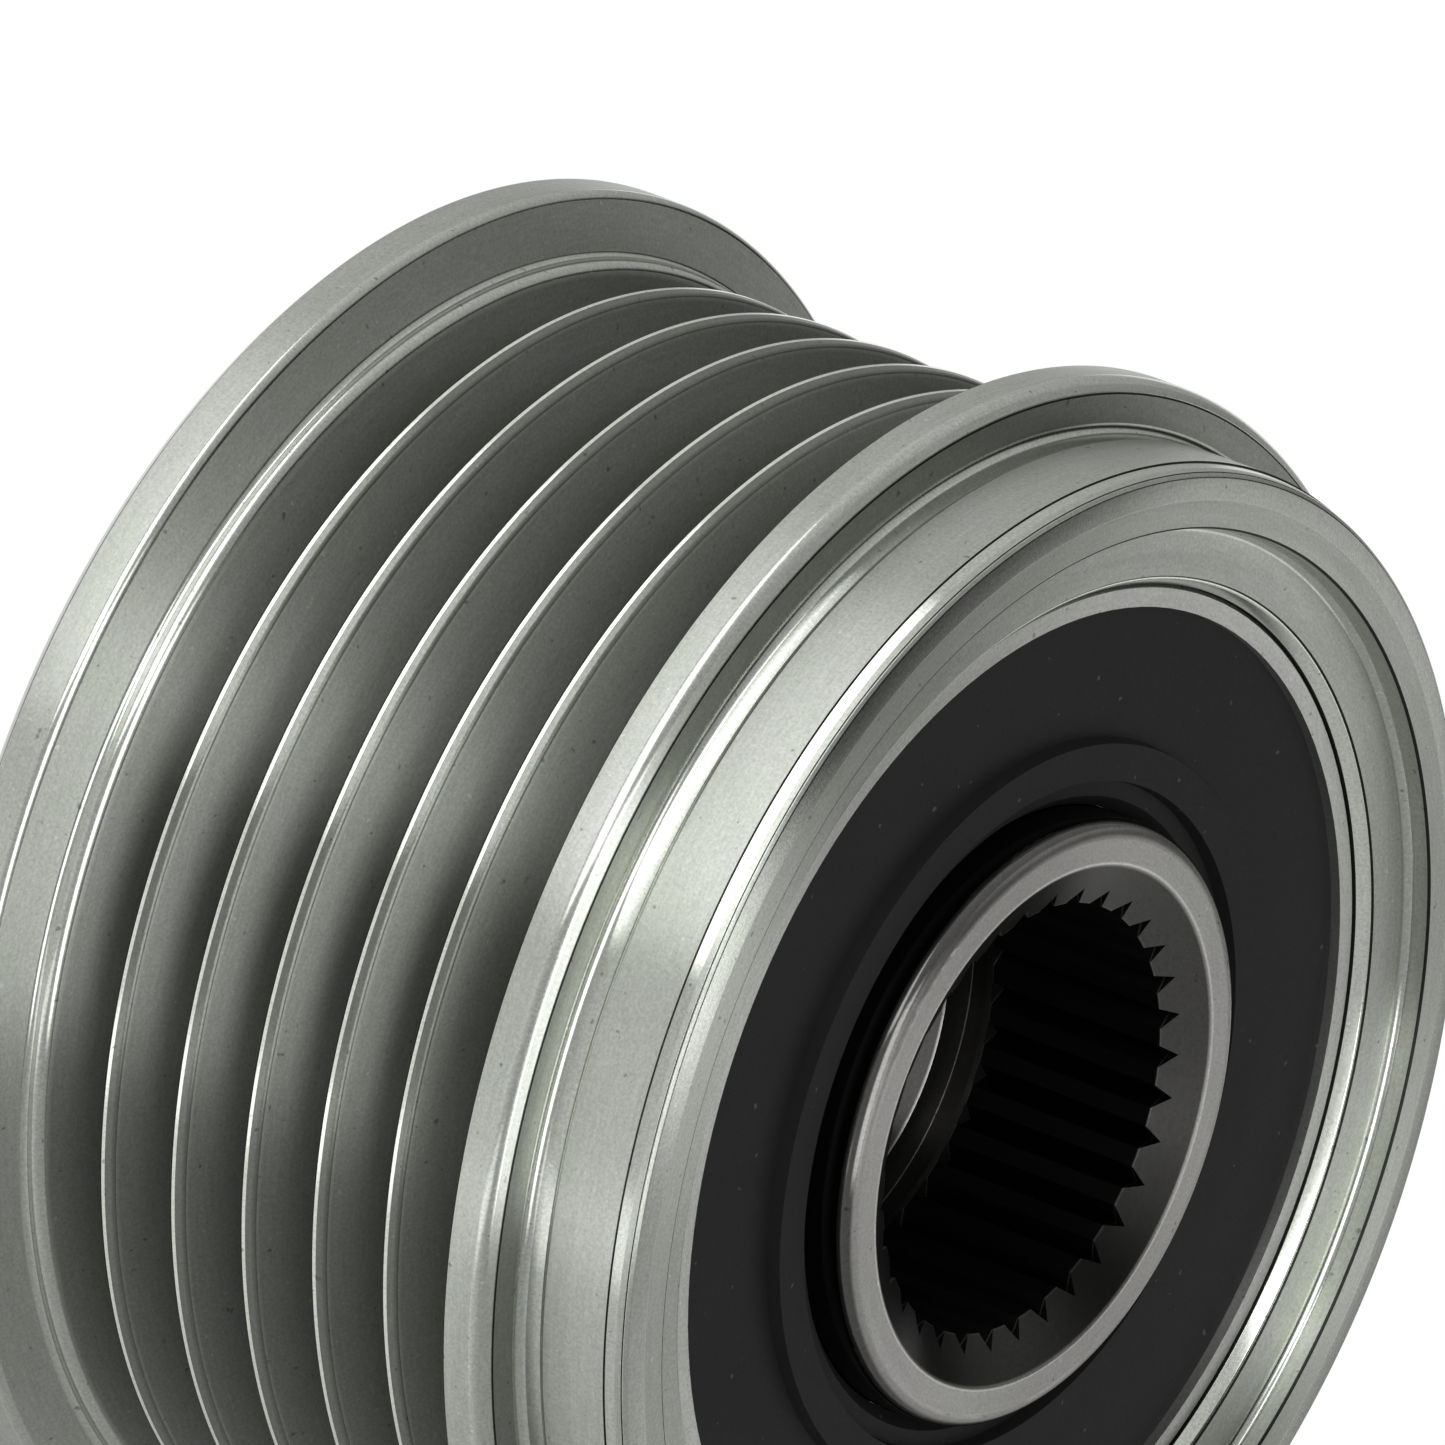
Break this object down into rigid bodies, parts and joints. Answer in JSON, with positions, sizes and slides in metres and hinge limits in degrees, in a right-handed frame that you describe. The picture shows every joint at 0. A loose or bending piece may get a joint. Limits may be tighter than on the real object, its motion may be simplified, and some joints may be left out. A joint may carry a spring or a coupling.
{
  "type": "alternator pulley",
  "caption": "Overrunning alternator pulley for a ribbed belt, with a grooved steel ring on two sealed ball bearings and a roller clutch around a splined, threaded hub.",
  "frame": {"origin": "on the axis, in the plane of the hub's rear face, which is the lowest point", "axes": "+Z along the axis toward the front face with the splined socket, +X through a valley of the serration"},
  "size_m": [0.059, 0.059, 0.0351],
  "materials": {
    "plated_steel": "turned and satin zinc plated",
    "hub_steel": "turned, hardened, fine satin",
    "bearing_steel": "ground and polished",
    "cage_steel": "pressed sheet",
    "seal_rubber": "matt black, moulded on a plate",
    "cage_polymer": "glass-filled polyamide",
    "spring_steel": "cold-rolled strip"
  },
  "bodies": {
    "hub": {"hub": "hub_steel", "front_inner_race": "bearing_steel", "rear_inner_race": "bearing_steel", "clutch_cam_ring": "bearing_steel", "clutch_rollers": "bearing_steel", "clutch_cage": "cage_polymer", "clutch_springs": "spring_steel"},
    "pulley": {"pulley_ring": "plated_steel", "front_outer_race": "bearing_steel", "rear_outer_race": "bearing_steel", "clutch_outer_ring": "bearing_steel", "front_seal": "seal_rubber", "rear_seal": "seal_rubber"},
    "front_cage": {"front_cage_outer_half": "cage_steel", "front_cage_inner_half": "cage_steel", "front_cage_rivets": "cage_steel", "front_balls": "bearing_steel"},
    "rear_cage": {"rear_cage_outer_half": "cage_steel", "rear_cage_inner_half": "cage_steel", "rear_cage_rivets": "cage_steel", "rear_balls": "bearing_steel"}
  },
  "joints": [
    {"name": "pulley_spin", "type": "hinge", "parent": "hub", "child": "pulley", "pos_m": [0, 0, 0.018], "axis": [0, 0, 1], "continuous": true},
    {"name": "front_cage_spin", "type": "hinge", "parent": "hub", "child": "front_cage", "pos_m": [0, 0, 0.029], "axis": [0, 0, 1], "continuous": true},
    {"name": "rear_cage_spin", "type": "hinge", "parent": "hub", "child": "rear_cage", "pos_m": [0, 0, 0.0074], "axis": [0, 0, 1], "continuous": true}
  ],
  "couplings": [
    {"joint": "front_cage_spin", "follows": "pulley_spin", "ratio": 0.5722},
    {"joint": "rear_cage_spin", "follows": "pulley_spin", "ratio": 0.5722}
  ]
}
